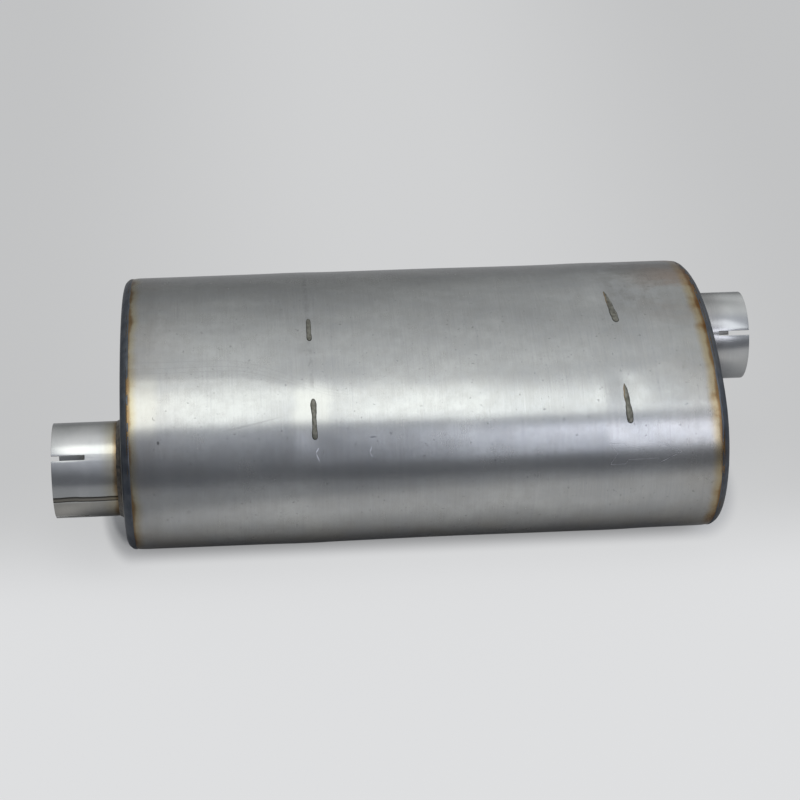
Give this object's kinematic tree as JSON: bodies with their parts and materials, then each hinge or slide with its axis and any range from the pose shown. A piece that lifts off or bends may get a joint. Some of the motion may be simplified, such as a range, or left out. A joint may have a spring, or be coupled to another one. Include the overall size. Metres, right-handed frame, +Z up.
{
  "type": "muffler",
  "caption": "Oval exhaust muffler of rolled and welded steel with a slotted, offset neck tube at each end and baffles inside.",
  "frame": {"origin": "under the middle of the body, on the plane that it rests on", "axes": "+X along the body from the inlet end to the outlet end, +Y across its long axis, from the inlet neck's side to the outlet neck's side, +Z up across its short axis"},
  "size_m": [0.8128, 0.3808, 0.255],
  "materials": {
    "shell_steel": "cold-rolled sheet, faint brushed grain, smudged",
    "cap_steel": "pressed sheet, mill finish",
    "neck_steel": "drawn tube, heat-tinted at the root",
    "weld_metal": "dark weld metal, lumpy",
    "end_weld_metal": "dark blue-grey oxidised weld bead",
    "inner_steel": "mill finish, inside the body"
  },
  "bodies": {
    "root": {"shell": "shell_steel", "shell_seam_weld": "weld_metal", "inlet_baffle_plug_welds": "weld_metal", "outlet_baffle_plug_welds": "weld_metal", "end_caps": "cap_steel", "end_welds": "end_weld_metal", "inlet_neck": "neck_steel", "outlet_neck": "neck_steel", "neck_welds": "weld_metal", "inlet_tube": "inner_steel", "return_tube": "inner_steel", "outlet_tube": "inner_steel", "inlet_neck_tacks": "weld_metal", "outlet_neck_tacks": "weld_metal", "inlet_tube_tacks": "weld_metal", "return_tube_tacks": "weld_metal", "outlet_tube_tacks": "weld_metal", "inlet_baffle": "inner_steel", "outlet_baffle": "inner_steel"}
  },
  "joints": []
}
